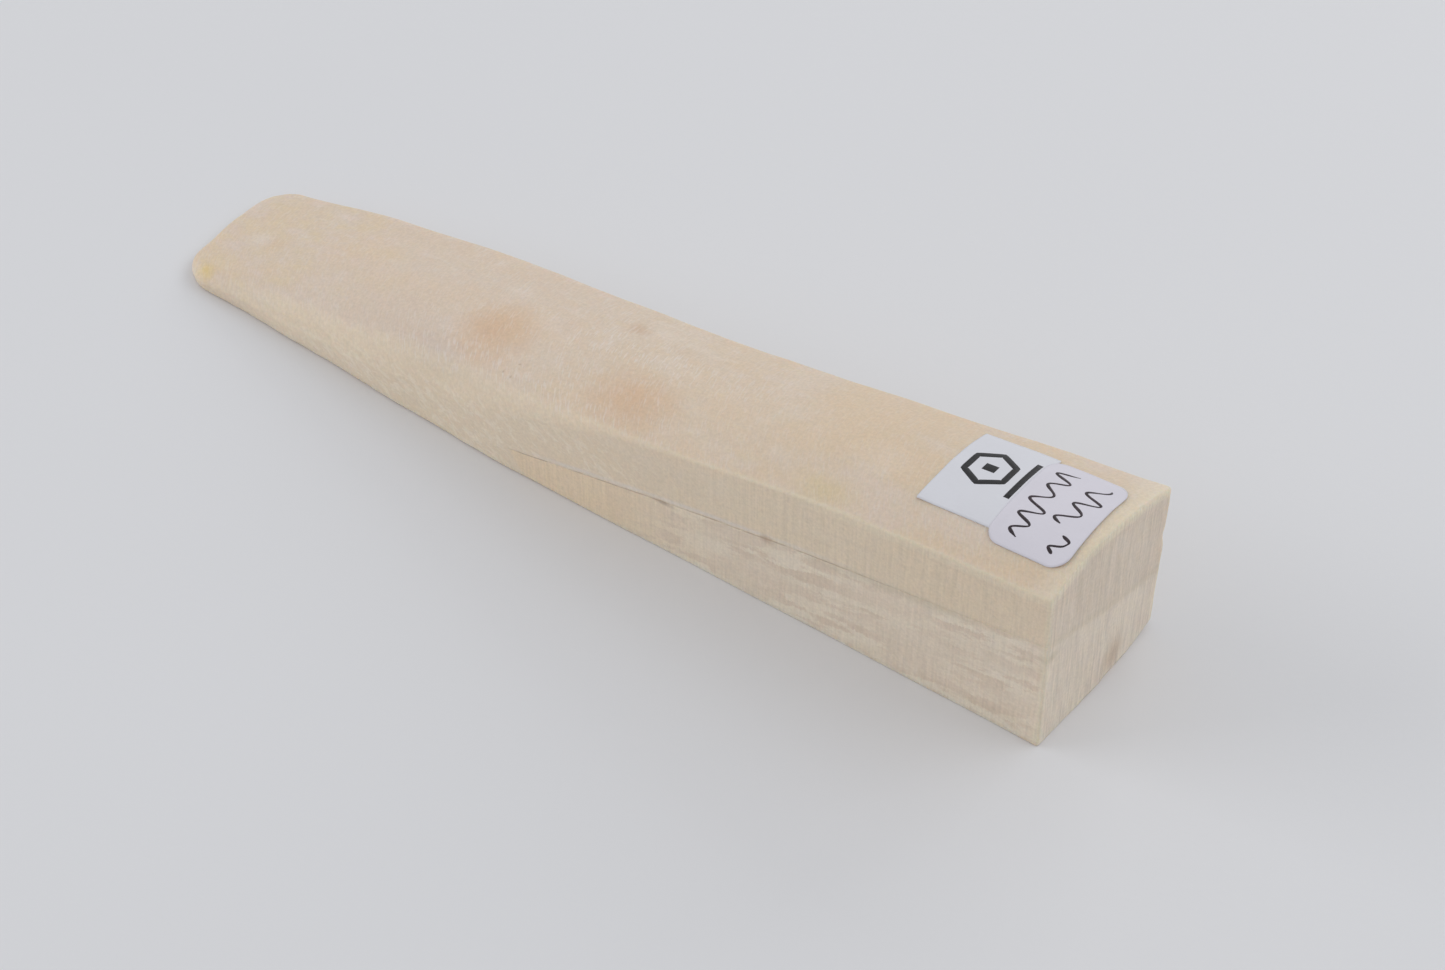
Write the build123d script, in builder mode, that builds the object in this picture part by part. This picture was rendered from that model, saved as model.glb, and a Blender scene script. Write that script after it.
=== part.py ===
"""Bone folder blank: a tapered bar of bone with two paper labels stuck on its top.

Millimetres. The bar lies flat along X, with its thick butt at +X and its thin tip at -X.
The origin is at the middle of the bar's box on the ground, and +Z is up.
"""
from build123d import *
import os

# Overall length of the bar, from butt to tip
LENGTH = 132.0
BUTT_X = LENGTH / 2
TIP_X = -LENGTH / 2

# The bar at evenly spaced stations from butt to tip: its two sides in plan, and the heights of
# its two top corners. The near side is one straight saw cut over the first four stations.
NEAR_SIDE = (-10.2, -11.1, -12.1, -13.0, -12.2, -12.2)
FAR_SIDE = (13.0, 10.5, 9.4, 9.4, 9.4, 7.8)
NEAR_CORNER_HEIGHT = (24.6, 21.5, 16.8, 12.2, 7.0, 1.0)
FAR_CORNER_HEIGHT = (23.0, 20.3, 15.8, 11.6, 6.7, 1.0)
STATIONS = len(NEAR_SIDE)

# The top is crowned across, and less so towards the tip
BUTT_CROWN = 2.4
TIP_CROWN = 0.6
CROWN_PLACE = 0.42

# The blade's end in plan: one broad arc with two rounded corners, cut from a longer wedge. The
# cutting outline stays just clear of the bar's two sides.
TIP_MIDDLE_Y = -2.0
TIP_BULGE = 1.3
NEAR_TIP_CORNER_Y = -12.4
FAR_TIP_CORNER_Y = 8.7
NEAR_TIP_RADIUS = 4.0
FAR_TIP_RADIUS = 5.0
TIP_WASTE = 1.5
SIDE_CLEARANCE = 1.0

# The worn low corner along the far side, a shallow slope that fades towards the tip
WORN_CORNER_WIDTH = 3.0
WORN_CORNER_HEIGHT = 0.8
WORN_AT_TIP = 0.1

# The wedge is made this much deeper, and its foot is then cut flat on the ground
FOOT_WASTE = 1.0

# Paper labels: thickness, sizes along and across the bar, and how far each is turned
PAPER = 0.1
SQUARE_LABEL_SIZE = (9.8, 14.3)
SQUARE_LABEL_CENTRE = (49.9, 1.45)
SQUARE_LABEL_TURN = 0.7
PRICE_LABEL_SIZE = (10.0, 15.3)
PRICE_LABEL_CENTRE = (59.3, 0.7)
PRICE_LABEL_TURN = 1.2
PRICE_LABEL_RADIUS = 2.0

# Height that no part of the object reaches
CLEAR_HEIGHT = 30.0


def bar_section(station):
    """The wedge's upright section at one station: crowned top, straight sides, deep foot."""
    along = station / (STATIONS - 1)
    near = (NEAR_SIDE[station], NEAR_CORNER_HEIGHT[station])
    far = (FAR_SIDE[station], FAR_CORNER_HEIGHT[station])
    crown = BUTT_CROWN + (TIP_CROWN - BUTT_CROWN) * along
    crest_y = near[0] + (far[0] - near[0]) * CROWN_PLACE
    crest_height = near[1] + (far[1] - near[1]) * CROWN_PLACE + crown
    worn_height = WORN_CORNER_HEIGHT * (1 + (WORN_AT_TIP - 1) * along)
    worn_run = (worn_height + FOOT_WASTE) * WORN_CORNER_WIDTH / WORN_CORNER_HEIGHT
    worn_side = (far[0], worn_height)
    worn_foot = (far[0] - worn_run, -FOOT_WASTE)
    with BuildSketch(Plane.YZ.offset(BUTT_X - (LENGTH + TIP_WASTE) * along)) as section:
        with BuildLine():
            ThreePointArc(near, (crest_y, crest_height), far)
            Polyline(far, worn_side, worn_foot, (near[0], -FOOT_WASTE), near)
        make_face()
    return section.sketch


def tip_outline():
    """The bar's outline at the tip, running on outside both of its sides as far as the butt."""
    near_tip = (TIP_X + TIP_BULGE, NEAR_TIP_CORNER_Y)
    far_tip = (TIP_X + TIP_BULGE, FAR_TIP_CORNER_Y)
    near_butt = (BUTT_X, min(NEAR_SIDE) - SIDE_CLEARANCE)
    far_butt = (BUTT_X, max(FAR_SIDE) + SIDE_CLEARANCE)
    with BuildSketch() as outline:
        with BuildLine():
            ThreePointArc(near_tip, (TIP_X, TIP_MIDDLE_Y), far_tip)
            Polyline(far_tip, far_butt, near_butt, near_tip)
        make_face()
        fillet(outline.vertices().sort_by_distance(near_tip)[0], NEAR_TIP_RADIUS)
        fillet(outline.vertices().sort_by_distance(far_tip)[0], FAR_TIP_RADIUS)
    return outline.sketch


def label_blank(centre, size, turn, corner_radius):
    """A label's outline, stood up as a prism taller than the bar."""
    with BuildPart() as blank:
        with BuildSketch():
            with Locations(Location((centre[0], centre[1], 0), (0, 0, turn))):
                if corner_radius:
                    RectangleRounded(size[0], size[1], corner_radius)
                else:
                    Rectangle(size[0], size[1])
        extrude(amount=CLEAR_HEIGHT)
    return blank.part


def raised_bar(height):
    """The bar lifted straight up, whose top is the upper face of paper laid on it."""
    return bone_bar.part.moved(Location((0, 0, height)))


# Bone bar: a crowned wedge, trimmed to length, rounded at the tip and cut flat underneath
sections = [bar_section(station) for station in range(STATIONS)]
tip = tip_outline()
with BuildPart() as bone_bar:
    add(sections)
    loft()
    extrude(tip, amount=CLEAR_HEIGHT, mode=Mode.INTERSECT)
bone_bar.part.label = "bone_bar"

# Square-cornered label, one paper thick, bent over the crowned top
with BuildPart() as square_label:
    add(label_blank(SQUARE_LABEL_CENTRE, SQUARE_LABEL_SIZE, SQUARE_LABEL_TURN, 0))
    add(raised_bar(PAPER), mode=Mode.INTERSECT)
    add(bone_bar.part, mode=Mode.SUBTRACT)
square_label.part.label = "square_label"

# Round-cornered price label, stiffer card, lapping over the square label's edge
with BuildPart() as price_label:
    add(label_blank(PRICE_LABEL_CENTRE, PRICE_LABEL_SIZE, PRICE_LABEL_TURN, PRICE_LABEL_RADIUS))
    add(raised_bar(2 * PAPER), mode=Mode.INTERSECT)
    add(bone_bar.part, mode=Mode.SUBTRACT)
    add(square_label.part, mode=Mode.SUBTRACT)
price_label.part.label = "price_label"

os.makedirs("parts", exist_ok=True)
export_step(bone_bar.part, "parts/bone_bar.step")
export_step(square_label.part, "parts/square_label.step")
export_step(price_label.part, "parts/price_label.step")
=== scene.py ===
"""Looks for the bone folder blank: a sawn and sanded bar of bone with two paper labels.

The model is in metres in the CAD frame: X runs along the bar towards its thick butt, Y across it
towards its far side, and Z up from the table. Shapes are worked out in millimetres, and scaled
by MM when their meshes are made.
"""
import math

import bpy
import numpy as np
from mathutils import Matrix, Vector


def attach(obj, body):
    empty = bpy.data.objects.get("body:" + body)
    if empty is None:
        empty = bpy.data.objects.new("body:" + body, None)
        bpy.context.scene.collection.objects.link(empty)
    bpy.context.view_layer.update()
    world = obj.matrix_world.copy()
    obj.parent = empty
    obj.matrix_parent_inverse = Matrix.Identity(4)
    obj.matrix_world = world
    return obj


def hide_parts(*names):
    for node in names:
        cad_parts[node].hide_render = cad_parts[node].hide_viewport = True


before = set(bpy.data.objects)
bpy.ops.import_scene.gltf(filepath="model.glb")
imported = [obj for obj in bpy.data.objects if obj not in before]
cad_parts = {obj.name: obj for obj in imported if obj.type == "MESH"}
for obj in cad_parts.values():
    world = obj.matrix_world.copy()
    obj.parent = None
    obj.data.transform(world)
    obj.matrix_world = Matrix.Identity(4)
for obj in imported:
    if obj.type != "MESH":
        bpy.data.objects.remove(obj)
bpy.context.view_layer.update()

MM = 0.001

# ---------------------------------------------------------------- the bar's shape, in mm

BUTT_X = 66.0
STATION_STEP = 26.7

# Values at six stations, evenly spaced from the butt to just past the tip
NEAR_SIDE = (-10.2, -11.1, -12.1, -13.0, -12.2, -12.2)
FAR_SIDE = (13.0, 10.5, 9.4, 9.4, 9.4, 7.8)
NEAR_CORNER_HEIGHT = (24.6, 21.5, 16.8, 12.2, 7.0, 1.0)
FAR_CORNER_HEIGHT = (23.0, 20.3, 15.8, 11.6, 6.7, 1.0)
STATIONED_LENGTH = (len(NEAR_SIDE) - 1) * STATION_STEP

# How far the top stands above the chord of its corners, and where across the bar it is highest
BUTT_CROWN, TIP_CROWN = 2.4, 0.6
CROWN_PLACE = 0.42

# The blade's end in plan is a broad arc, met by the sides in two round corners
TIP_ARC_CENTRE = (-21.3, -1.85)
TIP_ARC_RADIUS = 44.65
NEAR_TIP_RADIUS, FAR_TIP_RADIUS = 4.0, 3.6

# Radii of the four long edges at places along the bar: (x, near top, far top, near low, far low)
EDGE_RADII = (
    (66.0, 0.30, 0.40, 0.25, 0.45),
    (18.0, 0.40, 0.60, 0.25, 0.60),
    (8.0, 1.00, 0.70, 0.30, 0.60),
    (-4.0, 3.20, 0.80, 0.60, 0.50),
    (-18.0, 5.50, 0.90, 0.50, 0.50),
    (-36.0, 5.00, 1.00, 0.45, 0.50),
    (-50.0, 3.90, 0.90, 0.40, 0.40),
    (-60.0, 2.40, 0.60, 0.40, 0.30),
    (-66.0, 0.90, 0.40, 0.30, 0.25),
)
BUTT_EDGE_RADIUS = 0.35

# The worn slope along the underside's far corner, which fades towards the tip
WORN_HEIGHT, WORN_WIDTH, WORN_FADE = 0.6, 3.0, 0.9

# The underside's near edge is lifted a little over this width, and its tip end by this much
LIFTED_WIDTH = 3.2
LIFT_PLACES, NEAR_LIFT = (-66, -50, -38, -16, -7), (0.06, 0.08, 0.08, 0.05, 0.0)
TIP_LIFT = 0.15

# How far the far side stands in from its spline, at places along the bar
INSET_PLACES = (-56, -46, -30, 0, 30, 60, 66)
FAR_INSET = (0.50, 0.15, 0.02, -0.02, 0, -0.10, -0.30)

# How far the saw cut stands out at places across the butt, at its foot and at its top
CUT_PLACES = (-10, -5, 0, 5, 9.5, 13)
CUT_AT_FOOT = (-0.1, 0.12, 0.42, 0.55, 0.30, 0.2)
CUT_AT_TOP = (-0.40, -0.25, 0.08, 0.30, 0.32, 0.40)
CUT_TOP_HEIGHT = 21

# The tip's arc counts only on the blade, past this place, and elsewhere its field is well inside
BLADE_X = -30
WELL_INSIDE = -30.0

# Size that the mesh's lattice is spaced for, and its rough reach before it meets the tip's arc
LATTICE = (132, 23, 25)
LATTICE_REACH = 131


def spline(values):
    """A natural cubic spline through the station values, as a function of x."""
    y = np.array(values, float)
    count = len(y)
    system = np.eye(count)
    right = np.zeros(count)
    for i in range(1, count - 1):
        system[i, i - 1:i + 2] = (1, 4, 1)
        right[i] = 6 * (y[i - 1] - 2 * y[i] + y[i + 1])
    bend = np.linalg.solve(system, right)

    def value(x):
        along = np.clip((BUTT_X - x) / STATION_STEP, 0, count - 1 - 1e-9)
        i = along.astype(int)
        s = along - i
        line = (1 - s) * y[i] + s * y[i + 1]
        return line + ((1 - s) ** 3 - 1 + s) / 6 * bend[i] + (s ** 3 - s) / 6 * bend[i + 1]

    return value


near_side, far_side = spline(NEAR_SIDE), spline(FAR_SIDE)
near_height, far_height = spline(NEAR_CORNER_HEIGHT), spline(FAR_CORNER_HEIGHT)


def ramp(value, low, high):
    """Smoothly from 0 at low to 1 at high; low may be the larger."""
    t = np.clip((value - low) / (high - low), 0, 1)
    return t * t * (3 - 2 * t)


def waves(p, length, seed, count=7):
    """Smooth random undulation of about unit size, with crests about one length apart.

    The length may be three numbers, one for each axis.
    """
    rng = np.random.default_rng(seed)
    total = np.zeros(len(p))
    for _ in range(count):
        direction = rng.normal(size=3)
        direction *= rng.uniform(0.7, 1.4) * 2 * math.pi / np.linalg.norm(direction)
        total += np.sin((p / np.array(length)) @ direction + rng.uniform(0, 2 * math.pi))
    return total / math.sqrt(count / 2)


def tip_x(y):
    """Where the tip's arc crosses a given y."""
    return TIP_ARC_CENTRE[0] - np.sqrt(TIP_ARC_RADIUS ** 2 - (y - TIP_ARC_CENTRE[1]) ** 2)


def top_height(x, y):
    """Height of the crowned top, without its undulation."""
    near, far = near_side(x), far_side(x)
    v = np.clip((y - near) / (far - near), -0.1, 1.1)
    along = (BUTT_X - x) / STATIONED_LENGTH
    crown = BUTT_CROWN + (TIP_CROWN - BUTT_CROWN) * along
    chord = near_height(x) + (far_height(x) - near_height(x)) * v
    return chord + crown * v * (1 - v) / (CROWN_PLACE * (1 - CROWN_PLACE))


def foot_height(x, y):
    """Height of the underside: flat, but for the worn far corner and the lifted near edge."""
    worn = WORN_HEIGHT * (1 - WORN_FADE * (BUTT_X - x) / STATIONED_LENGTH)
    from_far = far_side(x) - y
    from_near = y - near_side(x)
    near_lift = np.interp(x, LIFT_PLACES, NEAR_LIFT) * ramp(from_near, LIFTED_WIDTH, 0)
    tip_lift = TIP_LIFT * ramp(x, -62.5, -66)
    return worn * np.clip(1 - from_far / WORN_WIDTH, 0, 1) + np.maximum(near_lift, tip_lift)


def round_meet(fields, radius):
    """Rounded intersection of several signed fields, all of them negative inside."""
    fields = np.array(fields)
    corner = np.sqrt((np.maximum(fields + radius, 0) ** 2).sum(axis=0))
    return np.minimum(-radius, fields.max(axis=0)) + corner


def sides_and_top(p):
    """Signed fields of the near, far and top faces, with their own unevenness.

    The near face is natural towards the tip and sawn towards the butt, where it is slightly
    hollow. Its natural part swells. The far face has a notch at the butt, and the top dips
    towards its near corner there.
    """
    x, y, z = p.T
    natural = ramp(x + 0.6 * z, -5.0, -9.0)
    flank = 0.05 * waves(p, (12, 9, 6), 3) + 0.02 * waves(p, (3.0, 2, 1.1), 4)
    sawn = 0.025 * waves(p, (20, 20, 6), 5)
    hollow = 0.25 * ramp(x, 52, 66) * np.sin(math.pi * np.clip(z / 24, 0, 1))
    swell = (0.28 + 0.17 * ramp(x, -56, -44)) * ramp(x, -20, -34) * (1 - 0.5 * ramp(z, 1.5, 0))
    inset = np.interp(x, INSET_PLACES, FAR_INSET)
    notch = 0.30 * ramp(x, 64.2, 66) * ramp(np.abs(z - 15.4), 1.5, 0.2)
    near = near_side(x) - y + 0.15 - swell + natural * flank + (1 - natural) * sawn + hollow
    far = y - far_side(x) + inset + notch + 0.035 * waves(p, (16, 14, 9), 6)
    dip = 0.3 * ramp(x, 40, 66) * ramp(y, -2, -9)
    top = z - top_height(x, y) + dip
    top = top + 0.06 * waves(p, (17, 13, 40), 7) + 0.015 * waves(p, (5, 3, 40), 8)
    return near, far, top


def skin(p):
    """Signed field of the whole bar: zero on its surface."""
    x, y, z = p.T
    near, far, top = sides_and_top(p)
    foot = foot_height(x, y) - z
    cut_foot = np.interp(y, CUT_PLACES, CUT_AT_FOOT)
    cut_top = np.interp(y, CUT_PLACES, CUT_AT_TOP)
    cut = cut_foot + (cut_top - cut_foot) * np.clip(z / CUT_TOP_HEIGHT, 0, 1)
    butt = x - BUTT_X + 0.05 - cut + 0.02 * waves(p, (30, 9, 7), 9)
    arc = np.hypot(x - TIP_ARC_CENTRE[0], y - TIP_ARC_CENTRE[1]) - TIP_ARC_RADIUS
    tip = np.where(x < BLADE_X, arc + 0.25 + 0.04 * waves(p, (6, 5, 9), 10), WELL_INSIDE)
    height = np.clip(z / np.maximum(top_height(x, y), 0.5), 0, 1)
    across = ramp(y, -6, 4)
    tip_corner = NEAR_TIP_RADIUS + (FAR_TIP_RADIUS - NEAR_TIP_RADIUS) * across
    plan_radius = BUTT_EDGE_RADIUS + (tip_corner - BUTT_EDGE_RADIUS) * ramp(x, BLADE_X, -50)
    plan = round_meet((near, far, tip, butt), plan_radius)
    places, *radii = zip(*reversed(EDGE_RADII))
    near_top, far_top, near_low, far_low = (np.interp(x, places, column) for column in radii)
    upper = near_top + (far_top - near_top) * across
    lower = near_low + (far_low - near_low) * across
    thin = ramp(x, -46, -60)
    radius = lower + (upper - lower) * ramp(height, 0.2 - 0.2 * thin, 0.6 + 0.4 * thin)
    return round_meet((plan, top, foot), radius)


def slope(field, p):
    """Gradient of a field at each point, by central differences."""
    step = 0.02
    columns = []
    for axis in range(3):
        shift = np.zeros(3)
        shift[axis] = step
        columns.append((field(p + shift) - field(p - shift)) / (2 * step))
    return np.stack(columns, axis=1)


def settle(p, field, rounds=5):
    """Moves points along the field's slope onto its surface."""
    for _ in range(rounds):
        grad = slope(field, p)
        p = p - (field(p) / np.maximum((grad ** 2).sum(axis=1), 0.3))[:, None] * grad
    return p


def grid_lines(length, edge, spacing):
    """Fractions of a length, evenly spaced but closer together at its two ends."""
    close = np.array(edge) / length
    count = max(2, round((length - 2 * edge[-1]) / spacing))
    middle = np.linspace(close[-1], 1 - close[-1], count + 1)[1:-1]
    return np.concatenate((close, middle, 1 - close[::-1]))


def bar_mesh():
    """Points and quads of the closed bar: the surface of a lattice, settled onto the skin."""
    along = grid_lines(LATTICE[0], (0, 0.1, 0.2, 0.32, 0.5, 0.8, 1.2), 0.47)
    across = grid_lines(LATTICE[1], (0, 0.1, 0.2, 0.35, 0.6, 1.0), 0.43)
    upward = grid_lines(LATTICE[2], (0, 0.1, 0.22, 0.4, 0.7, 1.1), 0.6)
    shape = (len(along), len(across), len(upward))
    index = np.indices(shape)
    edge = np.any([(index[i] == 0) | (index[i] == shape[i] - 1) for i in range(3)], axis=0)
    ids = np.full(shape, -1)
    ids[edge] = np.arange(edge.sum())
    a, b, c = (lines[index[i][edge]] for i, lines in enumerate((along, across, upward)))
    rough_x = BUTT_X - LATTICE_REACH * a
    rough_y = near_side(rough_x) * (1 - b) + far_side(rough_x) * b
    x = BUTT_X + a * (tip_x(rough_y) - BUTT_X)
    y = near_side(x) * (1 - b) + far_side(x) * b
    low = foot_height(x, y)
    z = low + c * (top_height(x, y) - low)
    points = settle(np.stack((x, y, z), axis=1), skin)
    points[:, 2] = np.maximum(points[:, 2], 0)
    sheets = (
        (ids[0], 1), (ids[-1], -1), (ids[:, 0], -1),
        (ids[:, -1], 1), (ids[:, :, 0], 1), (ids[:, :, -1], -1),
    )
    quads = []
    for sheet, side in sheets:
        corners = (sheet[:-1, :-1], sheet[1:, :-1], sheet[1:, 1:], sheet[:-1, 1:])
        quads.append(np.stack([c.ravel() for c in corners[::side]], axis=1))
    return points, np.concatenate(quads)


def bar_traits(points):
    """Values at each point that the bone's material uses, by name.

    Top, end, side and foot say which way the surface faces, and sawn where the near side was
    cut. Growth is the height above the line where one layer of bone meets the next, rim the
    distance from the nearest edge, and depth the distance below the top.
    """
    x, y, z = points.T
    normal = slope(skin, points)
    normal /= np.linalg.norm(normal, axis=1)[:, None]
    near, far, top = sides_and_top(points)
    fields = np.sort(np.stack((near, far, top, x - BUTT_X, foot_height(x, y) - z)), axis=0)
    cut_start = x + 0.6 * z
    layer = 5.6 + 0.205 * x - 0.00055 * x * x - 0.296 * (y - near_side(x))
    return {
        "top": ramp(normal[:, 2], 0.35, 0.85),
        "end": ramp(normal[:, 0], 0.5, 0.8),
        "side": ramp(np.abs(normal[:, 1]), 0.5, 0.8),
        "foot": ramp(-normal[:, 2], 0.5, 0.8),
        "sawn": ramp(cut_start, -6.8, -6.0),
        "growth": z - layer,
        "rim": np.clip(-fields[-2], 0, 5),
        "depth": np.clip(-top, 0, 30),
    }


def mesh_object(name, points, faces, material):
    """A smooth mesh object from points in mm and faces, with one material."""
    mesh = bpy.data.meshes.new(name)
    mesh.from_pydata((np.array(points) * MM).tolist(), [], [list(map(int, f)) for f in faces])
    mesh.polygons.foreach_set("use_smooth", [True] * len(mesh.polygons))
    mesh.materials.append(material)
    mesh.update()
    piece = bpy.data.objects.new(name, mesh)
    bpy.context.scene.collection.objects.link(piece)
    return piece


# ---------------------------------------------------------------- material nodes

class Wire:
    """A node socket that ordinary arithmetic combines into Math nodes."""

    def __init__(self, tree, socket):
        self.tree = tree
        self.socket = socket

    def math(self, operation, *others):
        """A Math node on this value and any others."""
        return wire(self.tree, "ShaderNodeMath", (self, *others), operation=operation)

    def __add__(self, other):
        return self.math("ADD", other)

    def __sub__(self, other):
        return self.math("SUBTRACT", other)

    def __mul__(self, other):
        return self.math("MULTIPLY", other)

    def __truediv__(self, other):
        return self.math("DIVIDE", other)

    def flip(self):
        """One minus this value."""
        return self * -1.0 + 1.0

    def step(self, low, high):
        """Smoothly from 0 at low to 1 at high; low may be the larger."""
        if low > high:
            return self.step(high, low).flip()
        return wire(self.tree, "ShaderNodeMapRange", (self, low, high, 0.0, 1.0),
                    interpolation_type="SMOOTHSTEP")

    def band(self, centre, half_width):
        """One at the centre, smoothly down to 0 a half width either side."""
        return (self - centre).math("ABSOLUTE").step(half_width, 0.0)


def wire(tree, kind, inputs, output=0, **settings):
    """A new node with its settings and inputs, as the wire of one output."""
    node = tree.nodes.new(kind)
    for key, value in settings.items():
        setattr(node, key, value)
    for key, value in (inputs.items() if isinstance(inputs, dict) else enumerate(inputs)):
        if isinstance(value, Wire):
            tree.links.new(value.socket, node.inputs[key])
        else:
            node.inputs[key].default_value = value
    return Wire(tree, node.outputs[output])


def place(tree):
    """The object's own coordinates in mm, as a vector and its three parts."""
    raw = wire(tree, "ShaderNodeTexCoord", (), "Object")
    p = wire(tree, "ShaderNodeVectorMath", (raw, (1000, 1000, 1000)), operation="MULTIPLY")
    return (p, *(wire(tree, "ShaderNodeSeparateXYZ", (p,), axis) for axis in "XYZ"))


def vector(x, y, z):
    """A vector of three parts, of which the first is a wire."""
    return wire(x.tree, "ShaderNodeCombineXYZ", (x, y, z))


def noise(p, length, detail=2.0, roughness=0.5, distortion=0.0):
    """Noise from 0 to 1 whose features are about one length across, on each axis."""
    lengths = length if isinstance(length, tuple) else (length,) * 3
    scaled = wire(p.tree, "ShaderNodeVectorMath", (p, tuple(1 / v for v in lengths)),
                  operation="MULTIPLY")
    return wire(p.tree, "ShaderNodeTexNoise", {
        "Vector": scaled, "Scale": 1.0, "Detail": detail, "Roughness": roughness,
        "Distortion": distortion,
    })


def attribute(tree, name):
    """One of the bar's traits, read from its points."""
    return wire(tree, "ShaderNodeAttribute", (), "Fac", attribute_name=name)


def tint(base, color, amount):
    """A colour moved towards another by an amount from 0 to 1."""
    tree = amount.tree if isinstance(amount, Wire) else base.tree
    base = base if isinstance(base, Wire) else (*base, 1.0)
    color = color if isinstance(color, Wire) else (*color, 1.0)
    return wire(tree, "ShaderNodeMix", {0: amount, 6: base, 7: color}, 2, data_type="RGBA")


def shade(base, amount):
    """A colour multiplied by an amount."""
    return wire(base.tree, "ShaderNodeVectorMath", {0: base, "Scale": amount}, operation="SCALE")


def spot(p, centre, size):
    """One at the centre, down to 0 at the size, which is one for each axis."""
    offset = wire(p.tree, "ShaderNodeVectorMath", (p, centre), operation="SUBTRACT")
    scaled = wire(p.tree, "ShaderNodeVectorMath", (offset, tuple(1 / v for v in size)),
                  operation="MULTIPLY")
    distance = wire(p.tree, "ShaderNodeVectorMath", (scaled,), "Value", operation="LENGTH")
    return distance.step(1.0, 0.0)


def finish_material(name, tree_maker, **constants):
    """A Principled material whose colour, roughness and relief in mm come from tree_maker."""
    material = bpy.data.materials.new(name)
    material.use_nodes = True
    tree = material.node_tree
    shader = tree.nodes["Principled BSDF"]
    for socket, value in constants.items():
        shader.inputs[socket.replace("_", " ")].default_value = value
    color, roughness, relief = tree_maker(tree)
    bump = wire(tree, "ShaderNodeBump", {"Strength": 1.0, "Distance": MM, "Height": relief})
    for wire_, socket in ((color, "Base Color"), (roughness, "Roughness"), (bump, "Normal")):
        tree.links.new(wire_.socket, shader.inputs[socket])
    return material


# The bone's colours
CREAM = (0.738, 0.615, 0.490)
HONEY = (0.770, 0.605, 0.435)
BUTTER = (0.755, 0.625, 0.450)
MILK = (0.820, 0.730, 0.645)
PETAL = (0.750, 0.625, 0.545)
BLUSH = (0.716, 0.494, 0.322)
DUSK = (0.665, 0.570, 0.515)
FLANK = (0.809, 0.684, 0.526)
FLECK = (0.900, 0.810, 0.680)
UPPER = (0.783, 0.665, 0.512)
LOWER = (0.830, 0.731, 0.600)
ROSE = (0.728, 0.602, 0.482)
CLAY = (0.690, 0.575, 0.440)
GREY = (0.720, 0.624, 0.530)
OLIVE = (0.600, 0.530, 0.400)
RIND = (0.800, 0.720, 0.570)
CHALK = (0.870, 0.820, 0.795)
MIST = (0.750, 0.710, 0.695)
AMBER = (0.800, 0.620, 0.260)
GOLD = (0.856, 0.680, 0.474)
LINE = (0.330, 0.235, 0.165)
UMBER = (0.480, 0.335, 0.230)
RUST = (0.600, 0.400, 0.265)

# Soft stains, and on the top two spots of painted shade, each a colour, centre, size and strength
BLADE_STAINS = (
    (DUSK, (-56.5, -4.5, 2.5), (8.0, 5.0, 4.0), 0.25),
    (CHALK, (-58.2, -3.4, 3.5), (3.2, 2.4, 4.0), 0.28),
    (BLUSH, (-55.7, -3.4, 4.0), (3.0, 2.2, 4.0), 0.26),
    (AMBER, (-40.1, 1.4, 6.5), (6.0, 2.6, 4.0), 0.12),
    (AMBER, (-61.2, -11.0, 2.0), (2.6, 1.7, 3.0), 0.80),
    (AMBER, (-63.0, -10.2, 2.0), (3.2, 4.5, 4.0), 0.08),
)
TOP_STAINS_AND_SHADE = (
    # Painted shade: grey lilac where the top turns down to its near side, towards the blade
    (DUSK, (-22.8, -11.1, 10.3), (8.5, 4.0, 5.0), 0.50),
    (DUSK, (-29.0, -7.5, 9.5), (15.0, 6.5, 6.0), 0.32),
    (RUST, (-1.4, 3.8, 15.5), (2.8, 1.7, 5.0), 0.50),
    (RUST, (-9.4, -0.4, 14.5), (3.0, 2.4, 5.0), 0.22),
    (OLIVE, (35.3, -9.6, 21.5), (5.0, 3.4, 5.0), 0.36),
    (AMBER, (35.4, -9.2, 21.5), (7.0, 3.4, 5.0), 0.30),
    (MILK, (38.2, -2.3, 24.0), (6.0, 4.0, 4.0), 0.32),
    (MILK, (-10.8, -0.5, 14.0), (5.0, 3.0, 4.0), 0.32),
    (MILK, (6.3, -0.1, 17.5), (5.0, 3.0, 4.0), 0.32),
)
SEAM_STAINS = (
    (LINE, (14.5, -12.1, 8.2), (2.4, 3.0, 0.5), 0.5),
    (UMBER, (28.9, -11.5, 11.0), (1.5, 3.0, 1.0), 0.6),
)
END_STAINS = (
    (OLIVE, (66.0, -9.1, 14.2), (3.0, 1.9, 1.2), 0.85),
    (UMBER, (66.0, 4.0, 3.4), (4.0, 3.2, 4.6), 0.50),
)
PIN_HOLES = ((-9.9, -8.4), (-9.8, -10.3), (-11.2, -10.0), (42.1, -3.0), (43.0, -3.7))


def stained_and_shaded(color, p, stains_and_shade):
    """A colour with soft spots on it: the bone's own marks, and on the top also painted shade."""
    for tone, centre, size, strength in stains_and_shade:
        color = tint(color, tone, spot(p, centre, size) * strength)
    return color


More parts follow.
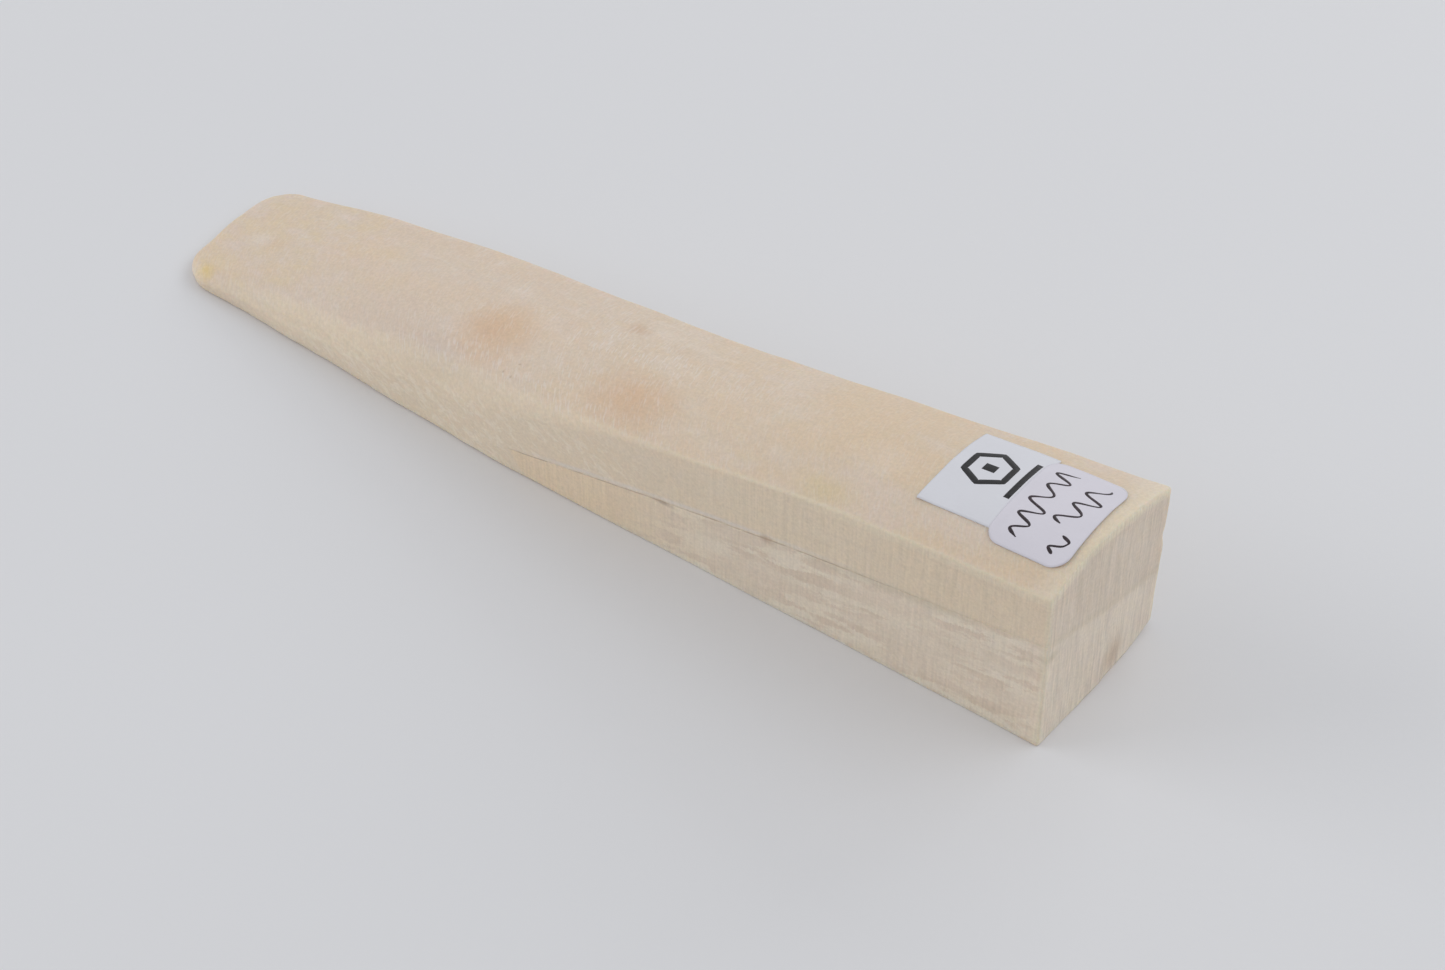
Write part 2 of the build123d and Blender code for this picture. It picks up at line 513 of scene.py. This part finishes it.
def bone_nodes(tree):
    """Nodes for the bone: its colour, roughness and relief."""
    p, x, y, z = place(tree)
    top, end, side, foot, sawn, growth, rim, depth = (
        attribute(tree, name)
        for name in ("top", "end", "side", "foot", "sawn", "growth", "rim", "depth")
    )
    faces = (side + end + foot).math("MINIMUM", 1.0)
    cloud = noise(p, (16, 9, 9), 3.0, 0.55)
    mottle = noise(p, (4.5, 2.6, 2.6), 3.0, 0.6)
    drawn = noise(p, (7.0, 1.6, 2.0), 3.0, 0.6)
    grain = noise(p, 0.40, 2.0, 0.6)
    wander = noise(p, 2.2, 3.0, 0.6) - 0.5
    drift = vector(wander * 2.2, wander * -1.6, 0.0)
    adrift = wire(tree, "ShaderNodeVectorMath", (p, drift), operation="ADD")

    # Sanding marks are fine strokes across the bar, leaning to the tip and turning down its sides
    across = x * 0.947 + y * 0.233 - y * y * 0.019
    along = y * 0.947 - x * 0.32
    curl = (noise(p, 2.6, 1.0) - 0.5) * 0.45
    hair = noise(vector((across + curl) / 0.20, along / 1.4, z / 1.4), 1.0, 1.0)
    hairs = hair.step(0.51, 0.67)
    clusters = noise(p, (9, 5, 7), 2.0).step(0.44, 0.62)
    clusters = clusters * x.step(-36.0, -24.0) * x.step(30.0, 10.0)
    swath = spot(p, (1.5, 0.5, 15.5), (12.0, 4.5, 9.0))
    swath = swath + spot(p, (-2.0, -10.5, 13.5), (16.0, 4.0, 7.0))
    swath = swath + spot(p, (-23.0, -8.5, 10.0), (9.0, 5.0, 6.0)) * 0.7
    scoured = clusters * 0.35 + swath * 0.45 + x.step(-30.0, -50.0) * 0.10 + 0.32

    # The sanded top is cream, clouded with honey, butter and milk along the bar
    color = tint(CREAM, HONEY, cloud.step(0.42, 0.68) * 0.6)
    color = tint(color, MILK, cloud.step(0.48, 0.30) * 0.40)
    color = tint(color, MILK, mottle.step(0.52, 0.74) * 0.30)
    color = tint(color, HONEY, mottle.step(0.46, 0.30) * top * 0.4)
    color = tint(color, BUTTER, drawn.step(0.56, 0.72) * top * 0.5)
    color = tint(color, MILK, drawn.step(0.44, 0.30) * top * y.step(-4.0, 3.0) * 0.35)
    bold = x.step(14.0, 40.0) * top
    color = tint(color, HONEY, (cloud.step(0.44, 0.58) * 0.7 + 0.25) * bold * 0.85)
    color = tint(color, PETAL, cloud.step(0.46, 0.38) * bold * 0.5)
    color = tint(color, CLAY, bold * 0.28)
    color = tint(color, PETAL, x.step(-52.0, -40.0) * x.step(0.0, -12.0) * top * 0.25)

    # The blade towards the tip is stained in small clouds of honey and lilac grey
    blade = x.step(-34.0, -52.0) * top
    color = tint(color, BUTTER, mottle.step(0.48, 0.38) * blade * 0.55)
    color = tint(color, PETAL, mottle.step(0.50, 0.62) * blade * 0.45)
    color = stained_and_shaded(color, adrift, BLADE_STAINS)
    color = tint(color, MILK, spot(p, (-63.0, -11.6, 1.2), (3.2, 2.4, 3)) * 0.45)
    color = tint(color, RIND, x.step(61.5, 65.5) * top * 0.55)

    # Two orange blushes, then fainter stains on the top, and painted shade on its near shoulder
    for centre, size in (((-16.7, -5.0, 12.7), (7.4, 7.0, 9)), ((6.3, -7.5, 16.9), (8.4, 5.8, 9))):
        color = tint(color, BLUSH, spot(adrift, centre, size).math("POWER", 0.7) * 0.72)
    color = stained_and_shaded(color, adrift, TOP_STAINS_AND_SHADE)

    # The layers part at the growth line, less sharply on the end and on the side near it
    blurred = x.step(32.0, 54.0) * end.flip()
    softness = end * 4.0 + blurred * 5.0 + 1.0
    over = ((growth + wander * blurred * 2.4) / softness).step(-0.15, 0.15)
    below = over.flip() * sawn * faces
    above = over * sawn * faces
    natural = below.flip() * side * x.step(26.0, 2.0)

    # The natural flank is flecked with pale slanted dashes
    slanted = vector(x * 0.89 - z * 0.454, y, z * 0.89 + x * 0.454)
    fleck = noise(slanted, (1.9, 1.7, 0.95), 3.0, 0.6, 0.9)
    color = tint(color, FLANK, natural * x.step(-64.0, -44.0) * 0.8)
    low_flank = depth.step(1.5, 5.0) * 0.7 + 0.3
    flecked = fleck.step(0.49, 0.61) * natural * low_flank * x.step(-58.0, -36.0)
    color = tint(color, FLECK, flecked * 0.44)

    # Saw lines run down the cut faces, and tear the layers of the bone under the growth line
    saw = noise(vector(x / 0.30, y / 0.30, z / 8.0), 1.0, 2.0, 0.6)
    tear = noise(vector(x / 0.28, y / 0.28, z / 5.0), 1.0, 2.0, 0.7) - 0.5
    layered = vector(x, y * 0.6, growth + tear * 0.9)
    patch = noise(layered, (5.6, 5.6, 1.5), 3.0, 0.60, 0.15)
    lens = noise(layered, (9.0, 9.0, 0.8), 2.0, 0.5)
    plain = noise(vector(x, y, growth), (14, 14, 4.5), 2.0).step(0.36, 0.58)
    streaks = noise(p, (1.2, 1.2, 7.0), 2.0, 0.6)
    marbled = below * x.step(2.0, 18.0) * end.flip() * (plain * 0.75 + 0.25)
    color = tint(color, LOWER, below)
    color = tint(color, ROSE, below * marbled.flip() * end.flip() * 0.55)
    color = tint(color, GOLD, below * x.step(26.0, 2.0) * 0.65)
    color = tint(color, ROSE, patch.step(0.46, 0.57) * marbled * 0.88)
    color = tint(color, GREY, (streaks.step(0.44, 0.62) * 0.38 + 0.30) * below * end)
    color = tint(color, CLAY, lens.step(0.57, 0.66) * marbled * 0.35)
    upper = above * (end + x.step(2.0, 26.0)).math("MINIMUM", 1.0)
    color = tint(color, UPPER, upper * 0.85)
    color = tint(color, HONEY, above * end.flip() * x.step(36.0, 52.0) * 0.16)
    color = tint(color, GREY, above * end * 0.7)
    color = tint(color, CLAY, streaks.step(0.50, 0.66) * above * end * 0.25)
    color = tint(color, CLAY, lens.step(0.52, 0.66) * upper * 0.25)

    # The growth line is a thin brown seam, under a milky band and over an olive shade
    seam_place = growth + wander * 0.22
    seam = seam_place.band(0.0, 0.15) * sawn * side
    milky = seam_place.band(0.45, 0.55) * sawn * side * x.step(46.0, 26.0) * x.step(-9.0, 0.0)
    shadowed = growth.band(-0.4, 1.3) * sawn * side * x.step(30.0, 42.0) * x.step(60.0, 50.0)
    broken = noise(p, (2.8, 2.8, 2), 2.0).step(0.34, 0.54)
    color = tint(color, MIST, milky * (plain * 0.25 + 0.22))
    color = tint(color, OLIVE, shadowed * 0.38)
    color = tint(color, LINE, seam * broken * x.step(54.0, 36.0) * 0.46)
    color = tint(color, OLIVE, growth.band(0.1, 1.2) * end * 0.22)
    color = stained_and_shaded(color, p, SEAM_STAINS)
    color = stained_and_shaded(color, adrift, END_STAINS)

    # A pale outer layer shows round the butt, under the crowned top and down its near corner
    corner = vector(x - 65.9, y + 10.15, x * 0.0)
    from_corner = wire(tree, "ShaderNodeVectorMath", (corner,), "Value", operation="LENGTH")
    rind = depth.step(1.6, 0.9) * (end + side * x.step(20.0, 50.0) * 0.5).math("MINIMUM", 1.0)
    color = tint(color, RIND, rind * 0.80)
    color = tint(color, RIND, from_corner.step(1.2, 0.6) * faces * depth.step(0.5, 1.5) * 0.45)
    color = tint(color, OLIVE, from_corner.band(0.15, 0.35) * faces * depth.step(1.0, 2.0) * 0.35)

    cut = (below + upper + end + foot).math("MINIMUM", 1.0)
    color = shade(color, (saw - 0.5) * (end * 1.2 + 1.0) * cut * 0.24 + 1.0)
    color = shade(color, (grain - 0.5) * 0.28 + 1.0)
    # Painted shade where the top turns down to its sides in the middle of the bar, and the upper
    # sawn band a little lighter away from the butt
    painted_shoulder_shade = top * top.flip() * x.band(-18.0, 18.0)
    color = shade(color, painted_shoulder_shade * -0.20 + upper * x.step(45.0, 25.0) * 0.02 + 1.0)

    # Pale strokes of the sandpaper, thickest in patches
    marks = hairs * scoured * (top + natural * 0.15).math("MINIMUM", 1.0)
    color = tint(color, CHALK, marks * 0.45)

    # Pin holes, and a painted glow along the thin edges, standing in for light shining through the
    # bone
    for hole in PIN_HOLES:
        color = tint(color, UMBER, spot(p, (*hole, 16), (0.26, 0.26, 9)) * top * 0.75)
    color = tint(color, RIND, rim.step(0.7, 0.1) * 0.20)
    # Warm orange blotches low on the sides, towards the butt
    low_side_blotches = z.step(0.9, 0.2) * side * mottle.step(0.50, 0.62) * x.step(20.0, 40.0)
    color = tint(color, BLUSH, low_side_blotches * 0.5)
    # Painted warm glow: the low edge towards the tip and the underside are tinted orange, standing
    # in for light glowing through the bone at the table
    painted_low_edge_glow = z.step(0.55, 0.15) * x.step(8.0, -8.0)
    color = tint(color, BLUSH, (painted_low_edge_glow + foot).math("MINIMUM", 1.0) * 0.6)

    roughness = mottle * 0.16 + hairs * 0.06 + cut * 0.05 + 0.44
    relief = saw * cut * 0.03 + hairs * top * 0.010 + grain * 0.015 - seam * 0.05
    relief = relief + fleck * natural * 0.04 + mottle * 0.03
    return color, roughness, relief


def paper_nodes(white, soiled):
    """Nodes for a paper whose fibres vary between a white and a soiled shade."""
    def nodes(tree):
        p = place(tree)[0]
        fibre = noise(p, (0.5, 0.18, 0.3), 3.0, 0.6)
        cloud = noise(p, 5.0, 2.0)
        color = tint(white, soiled, cloud.step(0.35, 0.7) * 0.6)
        color = shade(color, (fibre - 0.5) * 0.06 + 1.0)
        return color, fibre * 0.15 + 0.55, fibre * 0.006 + cloud * 0.02
    return nodes


def ink_nodes(dark, thin):
    """Nodes for ink that is darker where it lies thick."""
    def nodes(tree):
        p = place(tree)[0]
        flow = noise(p, 0.45, 3.0, 0.6)
        return tint(dark, thin, flow.step(0.45, 0.75)), flow * 0.25 + 0.35, flow * 0.004
    return nodes


def table_nodes(tree):
    """Nodes for the pale table top."""
    p = place(tree)[0]
    haze = noise(p, 90.0, 2.0)
    grain = noise(p, 0.8, 2.0)
    color = tint((0.800, 0.808, 0.836), (0.785, 0.793, 0.821), haze)
    return color, grain * 0.1 + 0.6, grain * 0.01


bone = finish_material(
    "bone", bone_nodes, Subsurface_Weight=0.35, Subsurface_Scale=0.0022,
    Subsurface_Radius=(1.0, 0.62, 0.36), Specular_IOR_Level=0.4,
)
label_paper = finish_material(
    "label_paper", paper_nodes((0.748, 0.757, 0.812), (0.728, 0.733, 0.784)),
    Specular_IOR_Level=0.3,
)
label_card = finish_material(
    "label_card", paper_nodes((0.745, 0.725, 0.800), (0.716, 0.697, 0.771)),
    Specular_IOR_Level=0.4,
)
print_ink = finish_material("print_ink", ink_nodes((0.012, 0.012, 0.014), (0.03, 0.03, 0.035)))
pen_ink = finish_material("pen_ink", ink_nodes((0.02, 0.012, 0.016), (0.07, 0.04, 0.06)))
table_material = finish_material("table", table_nodes, Specular_IOR_Level=0.3)

# ---------------------------------------------------------------- the bone

bar_points, bar_quads = bar_mesh()
bar = mesh_object("bone_blank", bar_points, bar_quads, bone)
for trait, values in bar_traits(bar_points).items():
    bar.data.attributes.new(trait, "FLOAT", "POINT").data.foreach_set("value", values)
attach(bar, "root")
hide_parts("bone_bar")

# ---------------------------------------------------------------- labels and ink

# Thickness of the paper, the gap under each label, and the height of the ink on them
PAPER = 0.1
SQUARE_GAP, PRICE_GAP = 0.01, 0.03
INK = 0.015

# Size along and across the bar, centre, turn in degrees and corner radius
SQUARE = dict(size=(9.8, 14.3), centre=(49.9, 1.45), turn=0.7, radius=0.12)
PRICE = dict(size=(10.0, 15.3), centre=(59.3, 0.70), turn=1.2, radius=2.0)


def turned(centre, turn, uv):
    """Points given along and across a label, placed on the bar in plan."""
    c, s = math.cos(math.radians(turn)), math.sin(math.radians(turn))
    u, v = np.array(uv, float).T
    return np.stack((centre[0] + u * c - v * s, centre[1] + u * s + v * c), axis=1)


def bar_top(xy):
    """Height of the bar's finished top under points in plan."""
    z = top_height(xy[:, 0], xy[:, 1])
    for _ in range(3):
        z = z - sides_and_top(np.column_stack((xy, z)))[2]
    return z


def square_top(uv):
    """Place and height of the square label's upper face, with one corner a little lifted."""
    xy = turned(SQUARE["centre"], SQUARE["turn"], uv)
    u, v = np.array(uv, float).T
    lift = 0.12 * ramp(-u, 2.5, 4.9) * ramp(-v, 3, 7.4)
    return xy, bar_top(xy) + PAPER + SQUARE_GAP + lift


def price_top(uv):
    """Place and height of the price label's upper face, which laps over the square label."""
    xy = turned(PRICE["centre"], PRICE["turn"], uv)
    u, v = np.array(uv, float).T
    lap = PAPER * ramp(xy[:, 0], 55.6, 54.8)
    lift = 0.20 * ramp(u, 3.0, 5.0) * (0.35 + 0.65 * ramp(-v, 2, 8)) + 0.08 * ramp(v, 6, 8)
    return xy, bar_top(xy) + PAPER + PRICE_GAP + lap + lift


def rounded_outline(size, radius, spacing=0.22):
    """Points around a rectangle with round corners, as (along, across)."""
    half = np.array(size) / 2
    points = []
    for corner, start in (((1, 1), 0), ((-1, 1), 90), ((-1, -1), 180), ((1, -1), 270)):
        for degrees in np.linspace(start, start + 90, 9):
            angle = math.radians(degrees)
            middle = (half - radius) * corner
            points.append(middle + radius * np.array((math.cos(angle), math.sin(angle))))
    dense = []
    for a, b in zip(points, points[1:] + points[:1]):
        count = max(1, round(np.linalg.norm(b - a) / spacing))
        dense += [a + (b - a) * i / count for i in range(count)]
    return np.array(dense)


def closed_sheet(name, outline, rings, surface, thickness, material):
    """A thin closed sheet on a surface: its outline shrunk in rings on both faces."""
    count = len(outline)
    scales = 1 - np.arange(rings) / rings
    uv = np.concatenate([outline * s for s in scales] + [np.zeros((1, 2))])
    xy, height = surface(uv)
    upper = np.column_stack((xy, height))
    lower = np.column_stack((xy, height - thickness))
    total = len(uv)
    quads = []
    for ring in range(rings - 1):
        for i in range(count):
            j = (i + 1) % count
            quads.append((ring * count + i, ring * count + j,
                          (ring + 1) * count + j, (ring + 1) * count + i))
    last = (rings - 1) * count
    for i in range(count):
        quads.append((last + i, last + (i + 1) % count, total - 1))
    faces = quads + [tuple(total + k for k in reversed(face)) for face in quads]
    for i in range(count):
        j = (i + 1) % count
        faces.append((i, total + i, total + j, j))
    return mesh_object(name, np.concatenate((upper, lower)), faces, material)


def ribbon(path, widths, surface, height, base):
    """Points and faces of a low closed ribbon of ink along a path on a surface."""
    path = np.array(path, float)
    ahead = np.gradient(path, axis=0)
    ahead /= np.linalg.norm(ahead, axis=1)[:, None]
    sideways = np.stack((-ahead[:, 1], ahead[:, 0]), axis=1) * (np.array(widths) / 2)[:, None]
    rows = []
    for offset, rise in ((-1, -0.01), (-0.85, height), (0.85, height), (1, -0.01)):
        xy, z = surface(path + offset * sideways)
        rows.append(np.column_stack((xy, z + rise)))
    count = len(path)
    points = np.concatenate(rows)
    faces = []
    for i in range(count - 1):
        for row in range(4):
            nxt = (row + 1) % 4
            faces.append(tuple(base + k for k in (
                row * count + i, nxt * count + i, nxt * count + i + 1, row * count + i + 1)))
    faces.append(tuple(base + row * count for row in (3, 2, 1, 0)))
    faces.append(tuple(base + row * count + count - 1 for row in range(4)))
    return points, faces


def ink_piece(name, strokes, surface, height, material):
    """One object made of ribbons, each given as its path and its widths."""
    points, faces = [], []
    for path, widths in strokes:
        more_points, more_faces = ribbon(path, widths, surface, height, len(points))
        points += more_points.tolist()
        faces += more_faces
    return mesh_object(name, points, faces, material)


def bar_stroke(start, end, width, count=12):
    """A straight stroke of even width."""
    t = np.linspace(0, 1, count)[:, None]
    return np.array(start) * (1 - t) + np.array(end) * t, np.full(count, width)


def polygon_stroke(centre, radius, sides, width):
    """A closed stroke of even width round a regular polygon."""
    corner = np.linspace(0, 2 * math.pi, sides + 1) + math.pi / sides
    corners = np.array(centre) + radius * np.stack((np.cos(corner), np.sin(corner)), axis=1)
    t = np.linspace(0, sides, sides * 8 + 1)
    path = np.stack([np.interp(t, range(sides + 1), corners[:, i]) for i in (0, 1)], axis=1)
    return np.concatenate((path, path[1:2])), np.full(len(path) + 1, width)


def pen_wave(start, end, swing, cycles, seed):
    """A hand-drawn wavy line with an uneven swing and pressure."""
    rng = np.random.default_rng(seed)
    t = np.linspace(0, 1, int(cycles * 22))
    start, end = np.array(start), np.array(end)
    run = end - start
    unit = run / np.linalg.norm(run)
    cross = np.array((-unit[1], unit[0]))
    phase = 2 * math.pi * cycles * (t + 0.02 * np.sin(2 * math.pi * (1.3 * t + rng.uniform())))
    size = swing * (1 + 0.28 * np.sin(2 * math.pi * (1.7 * t + rng.uniform())))
    drift = 0.2 * np.sin(2 * math.pi * (0.8 * t + rng.uniform()))
    path = start + np.outer(t, run) + np.outer(size * np.sin(phase) + drift, cross)
    widths = 0.34 + 0.08 * np.sin(phase + 1.0) + 0.04 * np.sin(2.3 * phase)
    widths *= np.clip(np.minimum(t, 1 - t) * 22 + 0.35, 0, 1)
    return path, widths


square_sheet = closed_sheet(
    "square_paper", rounded_outline(SQUARE["size"], SQUARE["radius"]), 22,
    square_top, PAPER, label_paper,
)
price_sheet = closed_sheet(
    "price_card", rounded_outline(PRICE["size"], PRICE["radius"]), 24,
    price_top, PAPER, label_card,
)
mark = ink_piece("printed_mark", [
    polygon_stroke((-0.5, 0.9), 2.9, 6, 0.85),
    bar_stroke((-1.3, 0.9), (0.3, 0.9), 1.3),
    bar_stroke((3.7, -2.6), (3.7, 4.6), 0.8),
], square_top, INK, print_ink)
pen = ink_piece("pen_marks", [
    pen_wave((-2.4, -6.0), (-2.0, 6.2), 1.10, 4.6, 21),
    pen_wave((1.9, -2.1), (2.2, 6.0), 1.20, 2.9, 22),
    pen_wave((2.9, -6.1), (3.0, -3.5), 0.70, 1.1, 23),
], price_top, INK, pen_ink)
label_pieces = (
    (square_sheet, "label_paper"), (price_sheet, "label_card"), (mark, "ink"), (pen, "ink"),
)
for piece, slot in label_pieces:
    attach(piece, "root")
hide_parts("square_label")
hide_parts("price_label")

# ---------------------------------------------------------------- stage

TABLE_HALF = 3000.0
TABLE_CORNERS = [
    (side_x * TABLE_HALF, side_y * TABLE_HALF, 0)
    for side_x, side_y in ((-1, -1), (1, -1), (1, 1), (-1, 1))
]
table = mesh_object("table", TABLE_CORNERS, [(0, 1, 2, 3)], table_material)

CAMERA_AZIMUTH = math.radians(37.35)
CAMERA_ELEVATION = math.radians(46.31)
CAMERA_DISTANCE = 0.3692
CAMERA_AIM = Vector((0.0109, 0.0041, -0.0043))
LENS_MM = 74.94
SENSOR_MM = 36.0

back = Vector((
    math.sin(CAMERA_AZIMUTH) * math.cos(CAMERA_ELEVATION),
    -math.cos(CAMERA_AZIMUTH) * math.cos(CAMERA_ELEVATION),
    math.sin(CAMERA_ELEVATION),
))
camera_data = bpy.data.cameras.new("camera")
camera_data.lens = LENS_MM
camera_data.sensor_width = SENSOR_MM
camera_data.clip_start = 0.01
camera = bpy.data.objects.new("camera", camera_data)
camera.location = CAMERA_AIM + back * CAMERA_DISTANCE
camera.rotation_euler = (-back).to_track_quat("-Z", "Y").to_euler()
bpy.context.scene.collection.objects.link(camera)
bpy.context.scene.camera = camera

SOFTBOX_DISTANCE = 1.0
SOFTBOX_SIZE = (0.7, 0.5)
WORLD_COLOR = (0.985, 0.99, 1.0, 1)
WORLD_STRENGTH = 0.548


def softbox(name, azimuth, elevation, power):
    """A soft light aimed at the bar. Azimuth is from +X towards +Y, in degrees."""
    turn, lift = math.radians(azimuth), math.radians(elevation)
    toward = Vector((
        math.cos(turn) * math.cos(lift), math.sin(turn) * math.cos(lift), math.sin(lift),
    ))
    data = bpy.data.lights.new(name, "AREA")
    data.shape = "RECTANGLE"
    data.size, data.size_y = SOFTBOX_SIZE
    data.energy = power
    light = bpy.data.objects.new(name, data)
    light.location = toward * SOFTBOX_DISTANCE
    light.rotation_euler = toward.to_track_quat("Z", "Y").to_euler()
    bpy.context.scene.collection.objects.link(light)


softbox("far_softbox", 90, 25, 1.53)
softbox("right_softbox", 36, 45, 1.65)
softbox("left_softbox", 210, 25, 2.48)

world = bpy.data.worlds.new("studio")
world.use_nodes = True
background = world.node_tree.nodes["Background"]
background.inputs["Color"].default_value = WORLD_COLOR
background.inputs["Strength"].default_value = WORLD_STRENGTH
bpy.context.scene.world = world
bpy.context.scene.view_settings.view_transform = "Standard"
